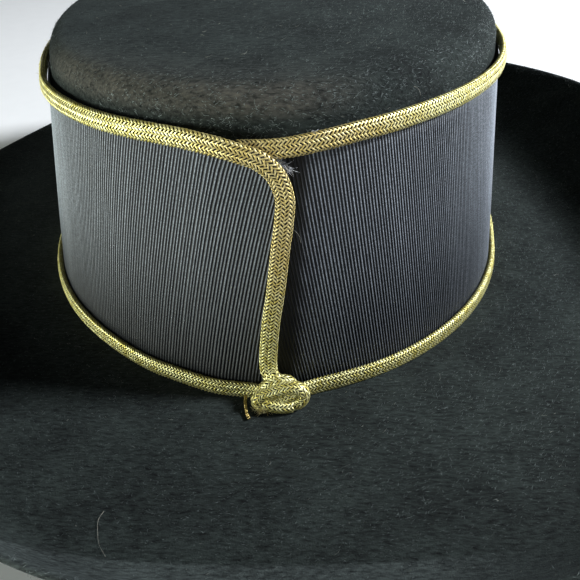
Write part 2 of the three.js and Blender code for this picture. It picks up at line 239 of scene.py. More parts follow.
# Ribbon. A deep grosgrain: a dark blue-grey strip with upright ribs, wound once round the crown,
# its left end lapped over its tucked right end at the front. It is sewn down along both edges.
# How far the blocked crown swells out past its oval at the two rings of cord, in millimetres.
crown_rows = [
    {"azimuth": -170, "at_top": -1.2, "at_base": 0.3},
    {"azimuth": -150, "at_top": -0.8, "at_base": 0.7},
    {"azimuth": -137, "at_top": 0.6, "at_base": 0.3},
    {"azimuth": -120, "at_top": 0.4, "at_base": -0.8},
    {"azimuth": -108, "at_top": -0.2, "at_base": -0.4},
    {"azimuth": -90, "at_top": 0.3, "at_base": 0.1},
    {"azimuth": -78, "at_top": 0.3, "at_base": 0.0},
    {"azimuth": -63, "at_top": -1.3, "at_base": 0.0},
    {"azimuth": -45, "at_top": -0.4, "at_base": 0.4},
    {"azimuth": -32, "at_top": 0.5, "at_base": 0.0},
    {"azimuth": -18, "at_top": 0.6, "at_base": -1.1},
    {"azimuth": 10, "at_top": 0.0, "at_base": -0.5},
    {"azimuth": 90, "at_top": 0.0, "at_base": 0.0},
    {"azimuth": 150, "at_top": -0.4, "at_base": 0.0},
]
crown_middle = np.array((1.9645, 2.5251, 0.0))
low_ring = {"half_width": 86.0, "half_length": 104.9, "height": 4.65}
high_ring = {"half_width": 76.05, "half_length": 92.3, "height": 73.3}
lap = {"rise": 1.1, "start": -104.0, "full": -96.0, "past": -84.0, "end": -76.0}


def smoothstep(value, low, high):
    """0 up to low and 1 from high on, eased between. Low and high may be either way round."""
    share = np.clip((value - low) / (high - low), 0, 1)
    return share * share * (3 - 2 * share)


def signed(degrees):
    """Azimuths brought to between -180 and 180 degrees."""
    return np.mod(np.asarray(degrees, float) + 180, 360) - 180


def ease_between(start, end, leave, arrive, share):
    """Values on a smooth curve from start to end that leaves and arrives at given slopes."""
    return (2 * share ** 3 - 3 * share ** 2 + 1) * start + (share ** 3 - 2 * share ** 2 + share) * leave \
        + (3 * share ** 2 - 2 * share ** 3) * end + (share ** 3 - share ** 2) * arrive


def around_crown(rows, column, degrees):
    """A column's value at azimuths, on a smooth closed curve through a table's rows."""
    at = np.array([row["azimuth"] for row in rows], float)
    value = np.array([row[column] for row in rows], float)
    count = len(at)
    turned = np.mod(np.asarray(degrees, float) - at[0], 360) + at[0]
    at = np.concatenate([[at[-1] - 360], at, at[:2] + 360])
    value = np.concatenate([[value[-1]], value, value[:2]])
    first = np.clip(np.searchsorted(at, turned, side="right") - 1, 1, count)
    span = at[first + 1] - at[first]
    leave = (value[first + 1] - value[first - 1]) / (at[first + 1] - at[first - 1]) * span
    arrive = (value[first + 2] - value[first]) / (at[first + 2] - at[first]) * span
    return ease_between(value[first], value[first + 1], leave, arrive, (turned - at[first]) / span)


def oval(rise):
    """Half the width and half the length of the wall's oval, a share of the way from ring to ring."""
    return [low_ring[key] + (high_ring[key] - low_ring[key]) * rise for key in ("half_width", "half_length")]


def share_of_rise(height):
    """How far a height lies from the low ring of cord, 0, to the high one, 1."""
    return (height - low_ring["height"]) / (high_ring["height"] - low_ring["height"])


def on_wall(degrees, height, outward):
    """Points in millimetres on the tapered wall through the two rings of cord, moved outwards."""
    degrees, height = np.broadcast_arrays(np.asarray(degrees, float), np.asarray(height, float))
    angle = np.radians(degrees)
    rise = share_of_rise(height)
    half_width, half_length = oval(rise)
    at_base = around_crown(crown_rows, "at_base", degrees)
    at_top = around_crown(crown_rows, "at_top", degrees)
    radius = 1 / np.hypot(np.cos(angle) / (half_width + outward), np.sin(angle) / (half_length + outward))
    radius = radius + at_base + (at_top - at_base) * rise
    return np.stack([radius * np.cos(angle), radius * np.sin(angle), height], -1) + crown_middle


def mesh_of(name, points, face_groups, uv=None, **measures):
    """A smooth mesh from arrays of points in millimetres and faces, with a UV and named values."""
    mesh = bpy.data.meshes.new(name)
    points = np.asarray(points, float).reshape(-1, 3)
    corners = np.concatenate([faces.ravel() for faces in face_groups]).astype(np.int32)
    sizes = np.concatenate([np.full(len(faces), faces.shape[1]) for faces in face_groups])
    starts = np.concatenate([[0], np.cumsum(sizes)[:-1]]).astype(np.int32)
    mesh.vertices.add(len(points))
    mesh.vertices.foreach_set("co", (points / 1000).astype(np.float32).ravel())
    mesh.loops.add(len(corners))
    mesh.loops.foreach_set("vertex_index", corners)
    mesh.polygons.add(len(sizes))
    mesh.polygons.foreach_set("loop_start", starts)
    mesh.update(calc_edges=True)
    if uv is not None:
        layer = mesh.uv_layers.new(name="flat_mm")
        layer.data.foreach_set("uv", np.asarray(uv, np.float32).reshape(-1, 2)[corners].ravel())
    for key, value in measures.items():
        attribute = mesh.attributes.new(key, "FLOAT", "POINT")
        attribute.data.foreach_set("value", np.asarray(value, np.float32).ravel())
    mesh.validate()
    mesh.shade_smooth()
    return mesh


def strip_faces(rows, columns, first=0):
    """Four-sided faces of a grid of points, rows by columns, row by row."""
    corner = (first + np.arange(rows - 1)[:, None] * columns + np.arange(columns - 1)).ravel()
    return np.stack([corner, corner + columns, corner + columns + 1, corner + 1], -1)


# Ribs. Each is a rounded ridge about 0.86 mm wide, as counted on the real ribbon, and no two grooves
# are quite as far apart or two crests quite as high.
rib_count = 676
rib_profile = [
    {"across": 0.0, "crest": 0.0},
    {"across": 0.27, "crest": 0.62},
    {"across": 0.5, "crest": 1.0},
    {"across": 0.73, "crest": 0.62},
]
rib_depth = 0.42
groove_wander, lowest_crest = 0.045, 0.95
ribbon_thickness = 0.8
ribbon_inset = 1.25
ribbon_foot, ribbon_top = 3.2, 73.0
edge_roll, edge_row = 0.35, 6
tucked_end = -95.0
front_end = {"at_top": -85.4, "at_foot": -88.8}
uncut_end = -81.5 + 360
chance = np.random.default_rng(5)
wander = chance.normal(0, groove_wander, rib_count - 1)
groove_at = np.arange(rib_count + 1) + np.concatenate([[0], wander, [0]])
profile_across, profile_crest = (np.array([row[key] for row in rib_profile]) for key in ("across", "crest"))
rib_points = groove_at[:-1, None] + np.diff(groove_at)[:, None] * profile_across
share_along = np.append(rib_points.ravel(), rib_count) / rib_count
crest = np.append((chance.uniform(lowest_crest, 1.0, rib_count)[:, None] * profile_crest).ravel(), 0.0)
heights = np.concatenate([[ribbon_foot, ribbon_foot + edge_roll],
                          np.linspace(ribbon_foot + edge_row, ribbon_top - edge_row, 7),
                          [ribbon_top - edge_roll, ribbon_top]])
share_up = (heights - ribbon_foot) / (ribbon_top - ribbon_foot)

# The strip is straight and the crown tapers, so towards both its ends the ribs lean to the front.
# Each lean or bow dies out over so many degrees from its end.
middle_height, middle_radius = 36.0, 96.0
right_end = {"lean": 12.5, "lean_over": 42}
left_end = {"lean": 13.2, "lean_over": 110, "bow": 0.0016, "bow_over": 60}
from_right, from_left = share_along * 360, (1 - share_along) * 360
right_lean = math.tan(math.radians(right_end["lean"])) * np.exp(-from_right / right_end["lean_over"])
left_lean = math.tan(math.radians(left_end["lean"])) * np.exp(-from_left / left_end["lean_over"])
left_bow = left_end["bow"] * np.exp(-from_left / left_end["bow_over"])
above_middle = (heights - middle_height)[None, :]
sideways = (left_lean - right_lean)[:, None] * above_middle + left_bow[:, None] * above_middle ** 2
degrees = tucked_end + share_along[:, None] * (uncut_end - tucked_end) + np.degrees(sideways / middle_radius)

# Where the cords cross at the front the strip's upper edge is drawn down, so that it stays under
# them. The lapped end rises over the tucked one. Sewn at its edges alone, the strip stands off the
# crown a little between them, in slow and quick waves.
drawn_down = {"by": 2.6, "start": -98, "full": -94, "past": -86, "end": -80}
slack_waves = [
    {"height": 0.10, "count": 9, "twist": 2.2},
    {"height": 0.07, "count": 23, "twist": -4.0},
]
slack_mean = 0.17
front_degrees = signed(degrees)
under_crossing = smoothstep(front_degrees, drawn_down["start"], drawn_down["full"]) \
    - smoothstep(front_degrees, drawn_down["past"], drawn_down["end"])
drawn_heights = heights[None, :] - drawn_down["by"] * under_crossing * share_up[None, :] ** 8
lift = lap["rise"] * smoothstep(degrees - 360, lap["start"], lap["full"])
waves = sum(row["height"] * np.sin(np.radians(degrees) * row["count"] + share_up * row["twist"])
            for row in slack_waves)
slack = np.sin(np.pi * share_up)[None, :] ** 0.6 * (waves + slack_mean)
edge_round = np.where((share_up == 0) | (share_up == 1), edge_roll, 0.0)[None, :]
off_crown = lift - ribbon_inset + slack - rib_depth * (1 - crest[:, None]) - edge_round
outer = on_wall(degrees, drawn_heights, off_crown)
inner = on_wall(degrees, drawn_heights, lift - ribbon_inset - ribbon_thickness)
columns, rows = outer.shape[:2]
inner_first = columns * rows
outer_faces = strip_faces(columns, rows)
inner_faces = strip_faces(columns, rows, inner_first)[:, ::-1]
edge = np.arange(columns - 1) * rows
foot_faces = np.stack([edge, edge + inner_first, edge + rows + inner_first, edge + rows], -1)
top_faces = np.stack([edge, edge + rows, edge + rows + inner_first, edge + inner_first], -1) + rows - 1
side = np.arange(rows - 1)
first_faces = np.stack([side, side + 1, side + 1 + inner_first, side + inner_first], -1)
last_faces = np.stack([side, side + inner_first, side + 1 + inner_first, side + 1], -1) + (columns - 1) * rows

# Right of the fold the lapped end shades the strip under it: its crests stay dark for the first
# 2 degrees or so and come back by 3.6. The crest value carries that to the material.
shaded = {"least": 0.15, "from": 1.7, "to": 3.6}
fold_line = front_end["at_foot"] + (front_end["at_top"] - front_end["at_foot"]) * share_up[None, :]
right_of_fold = front_degrees - fold_line
coming_back = smoothstep(right_of_fold, shaded["from"], shaded["to"])
gutter = np.where(right_of_fold < 0, 1.0, shaded["least"] + (1 - shaded["least"]) * coming_back)
flat_along = np.broadcast_to(share_along[:, None] * rib_count, degrees.shape)
flat_up = np.broadcast_to(heights[None, :], degrees.shape)
flat = np.stack([flat_along, flat_up], -1).reshape(-1, 2)
ribbon_mesh = mesh_of(
    "ribbon", np.concatenate([outer.reshape(-1, 3), inner.reshape(-1, 3)]),
    [outer_faces, inner_faces, foot_faces, top_faces, first_faces, last_faces],
    uv=np.concatenate([flat, flat]),
    crest=np.concatenate([(crest[:, None] * gutter).ravel(), np.zeros(inner_first)]))

# Its lapped end is cut off along the line of the cord, where the real end is folded under, and the cut is
# closed. That line cuts across the leaning ribs.
lapped_ribs = 40
fold_foot = Vector(on_wall(front_end["at_foot"], ribbon_foot, 0.0) / 1000)
fold_top = Vector(on_wall(front_end["at_top"], ribbon_top, 0.0) / 1000)
fold_side = (fold_top - fold_foot).cross(Vector((0.0, -1.0, 0.16))).normalized()
if fold_side.x < 0:
    fold_side = -fold_side
lapped_from = (columns - 1 - len(rib_profile) * lapped_ribs) * rows
ribbon_shape = bmesh.new()
ribbon_shape.from_mesh(ribbon_mesh)
ribbon_shape.verts.ensure_lookup_table()
near_fold = {v for v in ribbon_shape.verts if v.index % inner_first >= lapped_from}
parts = [f for f in ribbon_shape.faces if all(v in near_fold for v in f.verts)]
parts += list({e for f in parts for e in f.edges}) + list({v for f in parts for v in f.verts})
bmesh.ops.bisect_plane(ribbon_shape, geom=parts, dist=1e-7, plane_co=fold_foot, plane_no=fold_side,
                       clear_outer=True)
rim_edges = [e for e in ribbon_shape.edges if e.is_boundary]
bmesh.ops.holes_fill(ribbon_shape, edges=rim_edges, sides=0)
ribbon_shape.to_mesh(ribbon_mesh)
ribbon_shape.free()
ribbon_mesh.shade_smooth()

# Corded rayon, silky. The crowns of the ribs are painted pale, a painted highlight as raking light gives them,
# and the grooves are painted black, painted shade.
# Its UV counts ribs along and millimetres up. The fine threads across a rib are 0.3 mm apart, its
# yarn changes tone every 10 mm, and a speckle of 0.4 mm breaks its shine, as on the real ribbon.
# Towards the foot, and most of all on the left half, the crowns are painted down to near black: painted shade
# from the brim.
ribbon_material, tree, output = new_material("blue-grey grosgrain")
flat_place = add_node(tree, "ShaderNodeUVMap", {"uv_map": "flat_mm"}).outputs["UV"]
crest_value = add_node(tree, "ShaderNodeAttribute", {"attribute_name": "crest"}).outputs["Fac"]
weft = add_node(tree, "ShaderNodeMapping", {}, {"Vector": flat_place, "Scale": (1.0, 3.1, 1.0)})
threads = add_node(tree, "ShaderNodeTexWave", {"wave_type": "BANDS", "bands_direction": "Y"}, {
    "Vector": weft.outputs["Vector"], "Scale": 0.32, "Distortion": 1.2, "Detail": 1.0, "Detail Scale": 2.0})
yarn = add_node(tree, "ShaderNodeMapping", {}, {"Vector": flat_place, "Scale": (1.0, 0.09, 1.0)})
uneven = add_node(tree, "ShaderNodeTexNoise", {}, {
    "Vector": yarn.outputs["Vector"], "Scale": 1.1, "Detail": 4.0, "Roughness": 0.65})
yarn_share = add_node(tree, "ShaderNodeMapRange", {}, {
    "Value": uneven.outputs["Fac"], "From Min": 0.2, "From Max": 0.75, "To Min": 0.5, "To Max": 1.0})
speckled = add_node(tree, "ShaderNodeMapping", {}, {"Vector": flat_place, "Scale": (0.3, 1.7, 1.0)})
speckle = add_node(tree, "ShaderNodeTexNoise", {}, {
    "Vector": speckled.outputs["Vector"], "Scale": 1.6, "Detail": 2.0})
speckle_share = add_node(tree, "ShaderNodeMapRange", {}, {
    "Value": speckle.outputs["Fac"], "From Min": 0.34, "From Max": 0.66, "To Min": 0.45, "To Max": 1.0})
on_strip = add_node(tree, "ShaderNodeSeparateXYZ", {}, {"Vector": flat_place})
# Painted shade: how far the crowns stay pale at the foot, least on the left half.
least = add_node(tree, "ShaderNodeMapRange", {}, {
    "Value": on_strip.outputs["X"], "From Min": 260.0, "From Max": 420.0, "To Min": 0.45, "To Max": 0.06})
painted_shade_towards_foot = add_node(tree, "ShaderNodeMapRange", soft_edge, {
    "Value": on_strip.outputs["Y"], "From Min": 2.0, "From Max": 56.0, "To Min": least.outputs[0],
    "To Max": 1.0})
crown_of_rib = add_node(tree, "ShaderNodeMath", {"operation": "POWER", "use_clamp": True}, {
    0: crest_value, 1: 4.5})
share = crown_of_rib.outputs[0]
for part_share in (yarn_share, speckle_share, painted_shade_towards_foot):
    share = add_node(tree, "ShaderNodeMath", {"operation": "MULTIPLY", "use_clamp": True}, {
        0: share, 1: part_share.outputs[0]}).outputs[0]
# Painted highlight on the crowns of the ribs and painted shade in the grooves: black to pale blue-grey by
# crest.
tone = add_node(tree, "ShaderNodeMix", colour_mix, {
    "Factor": share, 6: linear("#000000"), 7: linear("#DDE7F2")})
bump = add_node(tree, "ShaderNodeBump", {}, {
    "Strength": 0.5, "Distance": 0.00008, "Height": threads.outputs["Fac"]})
shader = add_node(tree, "ShaderNodeBsdfPrincipled", {}, {
    "Base Color": tone.outputs[2], "Roughness": 0.48, "IOR": 1.5, "Normal": bump.outputs["Normal"],
    "Specular IOR Level": 0.4, "Sheen Weight": 0.10, "Sheen Roughness": 0.4, "Sheen Tint": linear("#C3CEDA")})
tree.links.new(shader.outputs["BSDF"], output.inputs["Surface"])
show("ribbon", ribbon_mesh, ribbon_material, ["ribbon_band"])


# Edge cord. A hollow braid of gold metallic thread, sewn flat along the ribbon's upper edge. Its
# end crosses over its own tucked start at the front and turns down the lapped end of the ribbon.
def unit(vectors):
    """Rows of vectors brought to length one."""
    return vectors / np.linalg.norm(vectors, axis=1, keepdims=True)


def run_along(path):
    """How far along a path each of its points lies."""
    return np.concatenate([[0], np.cumsum(np.linalg.norm(np.diff(path, axis=0), axis=1))])


def smooth_path(points, spacing=0.5):
    """Evenly spaced points on a smooth curve through given points."""
    given = np.asarray(points, float)
    given = np.vstack([2 * given[0] - given[1], given, 2 * given[-1] - given[-2]])
    share = np.linspace(0, 1, 24, endpoint=False)[:, None]
    pieces = []
    for i in range(1, len(given) - 2):
        before, start, end, after = given[i - 1:i + 3]
        gap_before, gap, gap_after = (
            np.linalg.norm(b - a) ** 0.5 for a, b in ((before, start), (start, end), (end, after)))
        leave = gap * ((start - before) / gap_before - (end - before) / (gap_before + gap)) + (end - start)
        arrive = (end - start) + gap * ((after - end) / gap_after - (after - start) / (gap + gap_after))
        pieces.append(ease_between(start, end, leave, arrive, share))
    line = np.vstack(pieces + [given[-2:-1]])
    run = run_along(line)
    at = np.linspace(0, run[-1], max(3, int(run[-1] / spacing) + 1))
    return np.stack([np.interp(at, run, line[:, k]) for k in range(3)], -1)


def off_wall(path):
    """The way the wall faces at points on it."""
    wall_slope = 0.165
    local = path - crown_middle
    half_width, half_length = oval(share_of_rise(local[:, 2]))
    facing = unit(np.stack([local[:, 0] / half_width ** 2, local[:, 1] / half_length ** 2], -1))
    return np.concatenate([facing, np.full((len(path), 1), wall_slope)], 1)


def lap_rise(degrees):
    """How far the lapped end of the ribbon pushes the cord out at azimuths near the front."""
    turned = signed(degrees)
    gone_up = smoothstep(turned, lap["start"], lap["full"])
    return lap["rise"] * (gone_up - smoothstep(turned, lap["past"], lap["end"]))


# Braid. Flat strands lie at 45 degrees in columns along the cord, turned one way and then the other, with a
# stitch of 1.05 mm as on the real cord. Each swells in its middle and dips at both ends under its neighbours,
# over a core that the material paints dark as shade. All in millimetres.
cord_width, cord_thickness = 4.8, 1.95
strand_columns = 12
strand_lean = math.radians(45)
strand_overlap, strand_fullness = 1.5, 0.66
strand_relief = 0.32
strand_wander = {"along": 0.03, "round": 0.02, "raised": 0.025}
strand_along = np.array([-1, -0.62, 0, 0.62, 1])[:, None] * np.ones(4)
strand_across = np.array([-1, -0.5, 0.5, 1])[None, :] * (0.70 + 0.30 * strand_along ** 2)
strand_raised = -strand_relief / 2 \
    + strand_relief * (1 - 0.85 * strand_along ** 2) * (1 - 0.55 * strand_across ** 2)
core_sides, core_step, core_sunk = 12, 1.2, 0.34


def cord_surface(run):
    """What a cord's surface is worked out from: where it runs and faces, and the outline of its section."""
    along = unit(np.gradient(run["path"], axis=0))
    facing = unit(run["facing"] - (run["facing"] * along).sum(1, keepdims=True) * along)
    angle = np.linspace(0, 2 * np.pi, 721)
    power = 2 / run.get("squareness", 2.4)
    side = np.sign(np.cos(angle)) * np.abs(np.cos(angle)) ** power * run["width"] / 2
    face = np.sign(np.sin(angle)) * np.abs(np.sin(angle)) ** power * run["thickness"] / 2
    girth = np.concatenate([[0], np.cumsum(np.hypot(np.diff(side), np.diff(face)))])
    spaced = girth + angle * 1e-9
    return {"path": run["path"], "facing": facing, "across": np.cross(along, facing),
            "run": run_along(run["path"]), "girth": girth, "side": side, "face": face,
            "out_side": np.gradient(face, spaced), "out_face": -np.gradient(side, spaced)}


def on_cord(cord, run_at, girth_at, raised):
    """Points on a cord: so far along it, so far round its girth, and raised off its surface."""
    run_at = np.clip(run_at, 0, cord["run"][-1])
    girth_at = np.mod(girth_at, cord["girth"][-1])
    side, face, out_side, out_face = (
        np.interp(girth_at, cord["girth"], cord[key]) for key in ("side", "face", "out_side", "out_face"))
    size = np.maximum(np.hypot(out_side, out_face), 1e-6)
    side, face = side + raised * out_side / size, face + raised * out_face / size
    middle, facing, across = (
        np.stack([np.interp(run_at, cord["run"], cord[key][:, k]) for k in range(3)], -1)
        for key in ("path", "facing", "across"))
    return middle + face[..., None] * facing + side[..., None] * across


def braid(name, runs, stitch=1.05, seed=1):
    """A braided cord as a mesh: a core under crossing strands, which the material paints dark as shade. Each
    run is a path, the way its broad face looks, and the cord's width and thickness there, all in millimetres."""
    chance = np.random.default_rng(seed)
    lengthwise, sidewise = math.cos(strand_lean), math.sin(strand_lean)
    strand_corners = strand_along.size
    patch = strip_faces(*strand_along.shape)
    points, groups, flats, lifts, tones, count = [], [], [], [], [], 0
    for run in runs:
        cord = cord_surface(run)
        length, girth = cord["run"][-1], cord["girth"][-1]
        rows = max(2, int(round(length / stitch)))
        strands = rows * strand_columns
        column = np.arange(strand_columns)[None, :]
        odd = column % 2 == 1
        slant = np.where(odd, -1.0, 1.0)[..., None, None]
        half_length = 0.5 * (girth / strand_columns) / sidewise * strand_overlap
        half_width = 0.5 * length / rows * sidewise * strand_fullness
        run_at = (np.arange(rows) + 0.25)[:, None] * length / rows + np.where(odd, 0.5 * length / rows, 0.0) \
            + chance.normal(0, strand_wander["along"], (rows, strand_columns))
        girth_at = (column + 0.5) * (girth / strand_columns) \
            + chance.normal(0, strand_wander["round"], (rows, strand_columns))
        run_at = run_at[..., None, None] + strand_along * half_length * lengthwise \
            - slant * strand_across * half_width * sidewise
        girth_at = girth_at[..., None, None] + slant * strand_along * half_length * sidewise \
            + strand_across * half_width * lengthwise
        lifted = chance.normal(0, strand_wander["raised"], (rows, strand_columns))[..., None, None]
        strand_flat = np.stack([strand_along * half_length, strand_across * half_width], -1)
        strand_lift = np.clip((strand_raised + strand_relief / 2) / strand_relief, 0, 1)
        first = (count + np.arange(strands) * strand_corners)[:, None, None]
        groups.append((first + patch).reshape(-1, 4))
        points.append(on_cord(cord, run_at, girth_at, strand_raised + lifted).reshape(-1, 3))
        flats.append(np.broadcast_to(strand_flat, run_at.shape + (2,)).reshape(-1, 2))
        lifts.append(np.broadcast_to(strand_lift, run_at.shape).ravel())
        tones.append(np.repeat(chance.random(strands), strand_corners))
        count += strands * strand_corners

        ring_count = max(3, int(length / core_step))
        ring_at = np.linspace(0, length, ring_count)[:, None]
        corner_at = np.arange(core_sides + 1)[None, :] * girth / core_sides
        core = on_cord(cord, ring_at, corner_at, -core_sunk)[:, :core_sides]
        ring = np.arange(ring_count - 1)[:, None, None] * core_sides
        here = np.arange(core_sides)[None, :]
        beside = (here + 1) % core_sides
        core_faces = ring + np.stack([here, core_sides + here, core_sides + beside, beside], -1)
        groups.append(count + core_faces.reshape(-1, 4))
        groups.append(count + here)
        groups.append(count + (ring_count - 1) * core_sides + here[:, ::-1])
        points.append(core.reshape(-1, 3))
        flats.append(np.zeros((ring_count * core_sides, 2)))
        lifts.append(np.zeros(ring_count * core_sides))
        tones.append(np.zeros(ring_count * core_sides))
        count += ring_count * core_sides
    return mesh_of(name, np.concatenate(points), groups, uv=np.concatenate(flats),
                   lift=np.concatenate(lifts), tone=np.concatenate(tones))


def sewn_cord(name, path, seed):
    """The braid at its full size along a path, its broad face turned the way the wall faces."""
    return braid(name, [{"path": path, "facing": off_wall(path), "width": cord_width,
                         "thickness": cord_thickness}], seed=seed)


# Metallic thread: bright brass-gold film, so each strand flashes on its crown. The gaps between strands, where
# they dip under each other, and the core are painted olive brown to near black, painted shade. Its UV is in
# millimetres, and fine lines 0.23 mm apart run along each strand, where its threads lie side by side. Round the
# crossing the film is rubbed and duller.
rubbed_at = {"middle": (0.0125, -0.0920, 0.0600), "none_past": 0.046, "full_within": 0.012, "share": 0.6}
gold_material, tree, output = new_material("gold metallic thread")
flat_place = add_node(tree, "ShaderNodeUVMap", {"uv_map": "flat_mm"}).outputs["UV"]
lift_value = add_node(tree, "ShaderNodeAttribute", {"attribute_name": "lift"}).outputs["Fac"]
tone_value = add_node(tree, "ShaderNodeAttribute", {"attribute_name": "tone"}).outputs["Fac"]
thread_lines = add_node(tree, "ShaderNodeTexWave", {"wave_type": "BANDS", "bands_direction": "Y"}, {
    "Vector": flat_place, "Scale": 1.35, "Distortion": 0.6, "Detail": 1.0})
warm = add_node(tree, "ShaderNodeMix", colour_mix, {
    "Factor": tone_value, 6: linear("#CFC05A"), 7: linear("#FDF8B6")})
painted_gap_shade = add_node(tree, "ShaderNodeMapRange", {}, {
    "Value": lift_value, "From Min": 0.08, "From Max": 0.55})
gold_place = add_node(tree, "ShaderNodeTexCoord").outputs["Object"]
from_crossing = add_node(tree, "ShaderNodeVectorMath", {"operation": "DISTANCE"}, {
    0: gold_place, 1: rubbed_at["middle"]})
tinted = add_node(tree, "ShaderNodeMapRange", soft_edge, {
    "Value": from_crossing.outputs["Value"], "From Min": rubbed_at["none_past"],
    "From Max": rubbed_at["full_within"], "To Min": 0.0, "To Max": rubbed_at["share"]})
film = add_node(tree, "ShaderNodeMix", colour_mix, {
    "Factor": tinted.outputs[0], 6: warm.outputs[2], 7: linear("#C9A96B")})
# Painted shade: where a strand is low, and on the core, its colour goes to near black.
tone = add_node(tree, "ShaderNodeMix", colour_mix, {
    "Factor": painted_gap_shade.outputs[0], 6: linear("#0E0902"), 7: film.outputs[2]})
bump = add_node(tree, "ShaderNodeBump", {}, {
    "Strength": 0.4, "Distance": 0.00005, "Height": thread_lines.outputs["Fac"]})
shader = add_node(tree, "ShaderNodeBsdfPrincipled", {}, {
    "Base Color": tone.outputs[2], "Metallic": 0.62, "Roughness": 0.42, "IOR": 1.5,
    "Normal": bump.outputs["Normal"], "Coat Weight": 0.6, "Coat Roughness": 0.34, "Coat IOR": 1.5})
tree.links.new(shader.outputs["BSDF"], output.inputs["Surface"])

# The run down the front, from where the cord leaves the upper edge to the knot. The start of the
# cord is tucked under its end: it lies lower and deeper there, and the end rises over it.
down_rows = [
    {"azimuth": -98.1, "height": 73.0},
    {"azimuth": -94.2, "height": 72.1},
    {"azimuth": -91.7, "height": 71.0},
    {"azimuth": -89.8, "height": 69.9},
    {"azimuth": -88.1, "height": 67.8},
    {"azimuth": -86.9, "height": 65.0},
    {"azimuth": -86.0, "height": 60.0},
    {"azimuth": -86.2, "height": 55.0},
    {"azimuth": -87.0, "height": 46.0},
    {"azimuth": -87.8, "height": 36.0},
    {"azimuth": -88.9, "height": 24.0},
    {"azimuth": -89.3, "height": 11.2},
]
tucked_cord = {"azimuth": -92.5, "rise": -2.2, "level_from": -75, "sink": -1.3, "sunk_to": -92, "out_from": -82}
over_rise = {"by": 0.7, "start": -100, "full": -94, "low": 64, "high": 69}
ring_degrees = np.arange(tucked_cord["azimuth"], down_rows[0]["azimuth"] + 360 - 2, 6.0)
settled = smoothstep(ring_degrees, tucked_cord["azimuth"], tucked_cord["level_from"])
come_out = smoothstep(ring_degrees, tucked_cord["sunk_to"], tucked_cord["out_from"])
ring_points = on_wall(ring_degrees, high_ring["height"] + tucked_cord["rise"] * (1 - settled),
                      lap_rise(ring_degrees) + tucked_cord["sink"] * (1 - come_out))
down_degrees = np.array([row["azimuth"] for row in down_rows])
down_heights = np.array([row["height"] for row in down_rows])
over_start = smoothstep(down_degrees, over_rise["start"], over_rise["full"]) \
    * smoothstep(down_heights, over_rise["low"], over_rise["high"])
down_points = on_wall(down_degrees, down_heights, lap_rise(down_degrees) + over_rise["by"] * over_start)
knot_middle = np.array((4.0, -108.2, 6.4)) + crown_middle
into_knot = knot_middle + np.array([(-1.6, 1.7, 3.4), (-0.6, 0.6, 1.4)])
edge_path = smooth_path(np.concatenate([ring_points, down_points, into_knot]))
show("edge_braid", sewn_cord("edge_braid", edge_path, 11), gold_material, ["edge_cord"])

# Base cord. The same braid along the ribbon's lower edge, lying in the corner between the crown
# and the brim. It starts in the knot at the front and comes round the hat back into it.
base_degrees = np.linspace(-83.4, -92.3 + 360, 61)
base_path = smooth_path(np.concatenate([
    knot_middle + [(3.6, 0.2, -0.9)], on_wall(base_degrees, low_ring["height"], lap_rise(base_degrees)),
    knot_middle + [(-4.4, 0.9, -1.0)]]))
show("base_braid", sewn_cord("base_braid", base_path, 12), gold_material, ["base_cord"])

# Knot. Both cords end here in one small tight knot on the brim. Two turns of the braid show,
# pulled in round a filled heart, and the cut ends are tucked under.
over_turn = [(-3.9, -2.3, -2.9), (-5.9, -1.9, -1.9), (-4.9, -1.3, -0.4), (-1.6, -1.1, 1.0), (2.2, -0.8, 2.4),
             (5.4, -0.8, 2.1), (6.6, -1.2, 0.1), (5.5, -1.9, -1.8), (3.2, -2.0, -2.6)]
under_turn = [(-4.2, -2.3, -1.5), (-1.8, -3.0, -1.9), (1.0, -3.1, -2.3), (3.8, -2.5, -2.5)]
inner_turn = [(-2.0, -2.1, -1.5), (0.6, -2.2, -0.9), (2.8, -2.0, 0.0), (5.0, -1.6, 0.5)]
back_turn = [(-5.2, 0.6, -1.2), (-2.0, 1.2, 2.2), (2.2, 1.4, 2.6), (4.8, 0.8, -0.6)]
knot_facing = np.array((0.0, -0.55, 0.83))
pulled_flat = 0.92
knot_runs = []
for turn_points, width in ((over_turn, 3.9), (under_turn, 3.9), (inner_turn, 2.6), (back_turn, 3.8)):
    path = smooth_path(np.array(turn_points) + knot_middle, 0.25)
    knot_runs.append({"path": path, "facing": np.broadcast_to(knot_facing, path.shape), "width": width,
                      "thickness": width * pulled_flat, "squareness": 2.0})
knot_mesh = braid("knot", knot_runs, stitch=0.98, seed=13)
show("knot", knot_mesh, gold_material, ["front_knot"])

# Wire tail. The bare gold-coloured wire that stiffens the cord's end comes out beside the knot and
# lies on the brim. It is thin brass-coloured wire, smooth, with a cut end. As drawn metal it is
# bright, and marks of about half a millimetre make its shine uneven.
wire_material, tree, output = new_material("bare brass-gold wire")
place = add_node(tree, "ShaderNodeTexCoord").outputs["Object"]
marks = add_node(tree, "ShaderNodeTexNoise", {}, {"Vector": place, "Scale": 1800.0, "Detail": 3.0})
rough = add_node(tree, "ShaderNodeMapRange", {}, {
    "Value": marks.outputs["Fac"], "From Min": 0.3, "From Max": 0.7, "To Min": 0.24, "To Max": 0.42})
shader = add_node(tree, "ShaderNodeBsdfPrincipled", {}, {
    "Base Color": linear("#D8BE7A"), "Metallic": 1.0, "Roughness": rough.outputs[0]})
tree.links.new(shader.outputs["BSDF"], output.inputs["Surface"])
wire_radius = 0.425
tail_run = [(-5.3, -107.8, 4.5), (-5.5, -109.4, 3.9), (-5.2, -111.3, 3.1), (-4.8, -113.0, 2.75),
            (-4.1, -114.6, 2.75)]
tail_path = smooth_path(np.array(tail_run) + crown_middle, 0.25)


